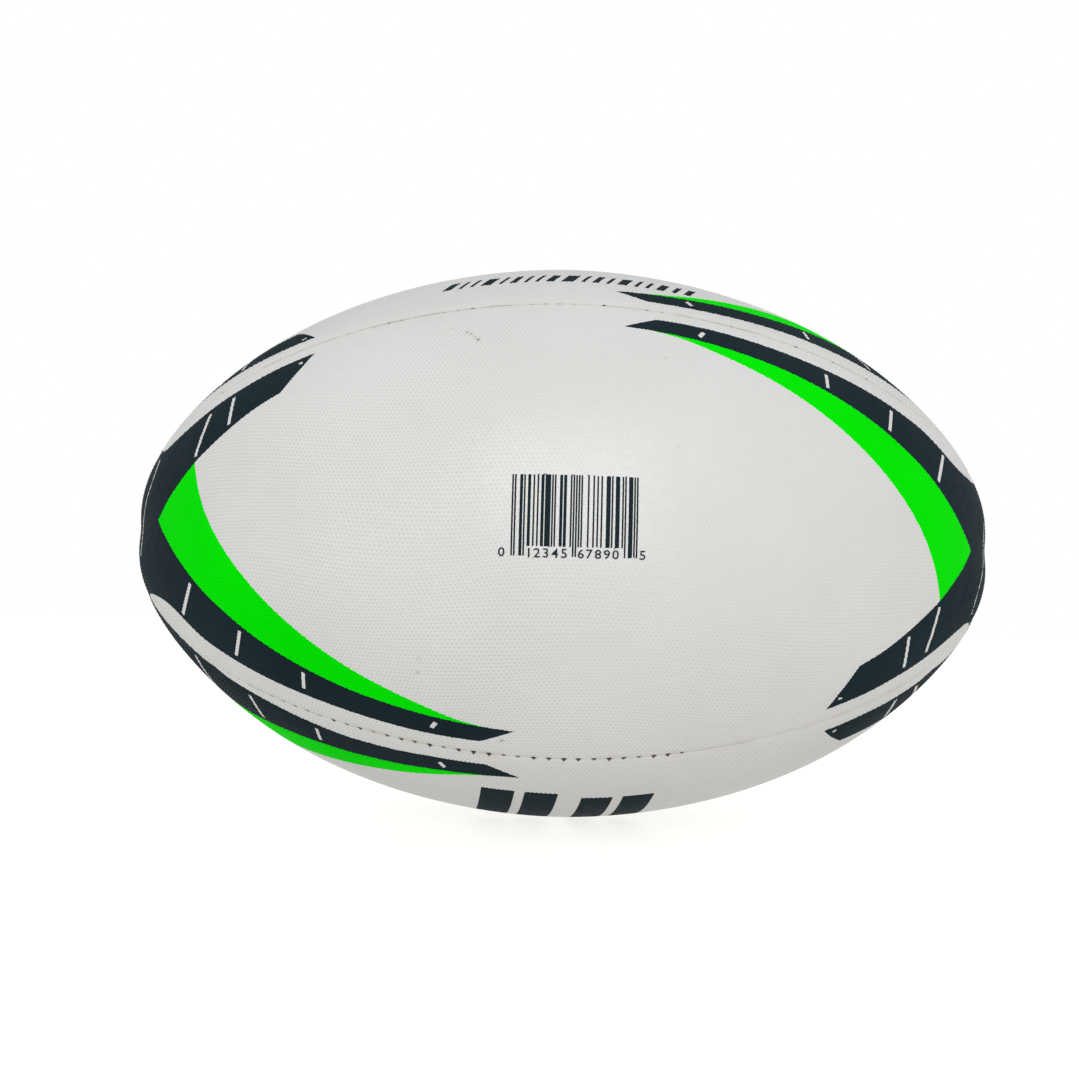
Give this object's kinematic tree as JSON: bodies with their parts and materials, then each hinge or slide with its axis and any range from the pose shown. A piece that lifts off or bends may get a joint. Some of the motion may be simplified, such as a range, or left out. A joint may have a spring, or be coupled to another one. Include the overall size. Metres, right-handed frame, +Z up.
{
  "type": "rugby ball",
  "caption": "Oval rugby ball of stitched pebbled rubber panels over cloth plies and an air bladder, with a flush self-sealing valve and bold printed swooshes.",
  "frame": {"origin": "centre of the ball, halfway between its two points", "axes": "+X along the ball's long axis, +Z up through the middle of the top panel, -Y through the middle of the front panel, which is the one the picture shows; the valve faces +Y"},
  "size_m": [0.2918, 0.1851, 0.1854],
  "materials": {
    "panel_rubber": "pebbled matt",
    "ply_cloth": "plain weave, laminated",
    "bladder_latex": "satin",
    "valve_rubber": "matt",
    "core_rubber": "matt",
    "seam_thread": "waxed twisted thread"
  },
  "bodies": {
    "root": {"panel_front": "panel_rubber", "panel_top": "panel_rubber", "panel_back": "panel_rubber", "panel_bottom": "panel_rubber", "ply_front_1": "ply_cloth", "ply_front_2": "ply_cloth", "ply_front_3": "ply_cloth", "ply_top_1": "ply_cloth", "ply_top_2": "ply_cloth", "ply_top_3": "ply_cloth", "ply_back_1": "ply_cloth", "ply_back_2": "ply_cloth", "ply_back_3": "ply_cloth", "ply_bottom_1": "ply_cloth", "ply_bottom_2": "ply_cloth", "ply_bottom_3": "ply_cloth", "bladder": "bladder_latex", "valve_patch": "bladder_latex", "valve_body": "valve_rubber", "valve_core": "core_rubber", "thread_front_top": "seam_thread", "thread_top_back": "seam_thread", "thread_back_bottom": "seam_thread", "thread_bottom_front": "seam_thread"}
  },
  "joints": []
}
